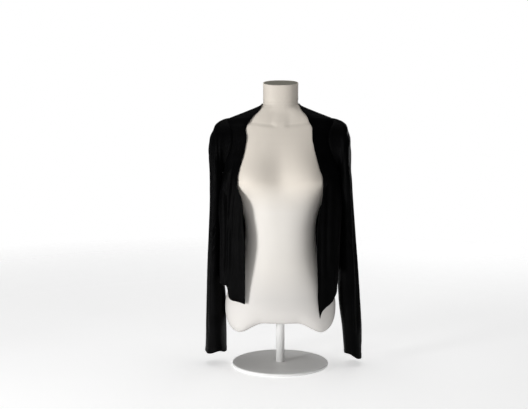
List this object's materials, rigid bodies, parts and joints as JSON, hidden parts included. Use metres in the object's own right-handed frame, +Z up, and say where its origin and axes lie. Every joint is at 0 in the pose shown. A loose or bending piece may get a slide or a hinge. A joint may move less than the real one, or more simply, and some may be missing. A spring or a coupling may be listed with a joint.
{
  "type": "cardigan on dress form",
  "caption": "Cropped open-front black knit cardigan with long hanging sleeves and pointed fronts, resting on a smooth cream limbless dress form on a low round stand.",
  "frame": {"origin": "middle of the underside of the stand's round base, on the surface that it stands on", "axes": "+Z up, -Y towards the front of the garment, +X to the right as one looks at the front"},
  "size_m": [0.4415, 0.27, 0.797],
  "materials": {
    "black_knit": "fine black jersey knit, matt with a faint soft sheen on the folds",
    "cream_form": "smooth warm off-white, satin",
    "grey_cap": "matt olive grey",
    "pale_stand": "off-white paint, satin"
  },
  "bodies": {
    "root": {"cardigan_back": "black_knit", "cardigan_front_left": "black_knit", "cardigan_front_right": "black_knit", "cardigan_sleeve_left": "black_knit", "cardigan_sleeve_right": "black_knit", "dress_form": "cream_form", "neck_cap": "grey_cap", "stand_post": "pale_stand", "stand_base": "pale_stand"}
  },
  "joints": []
}
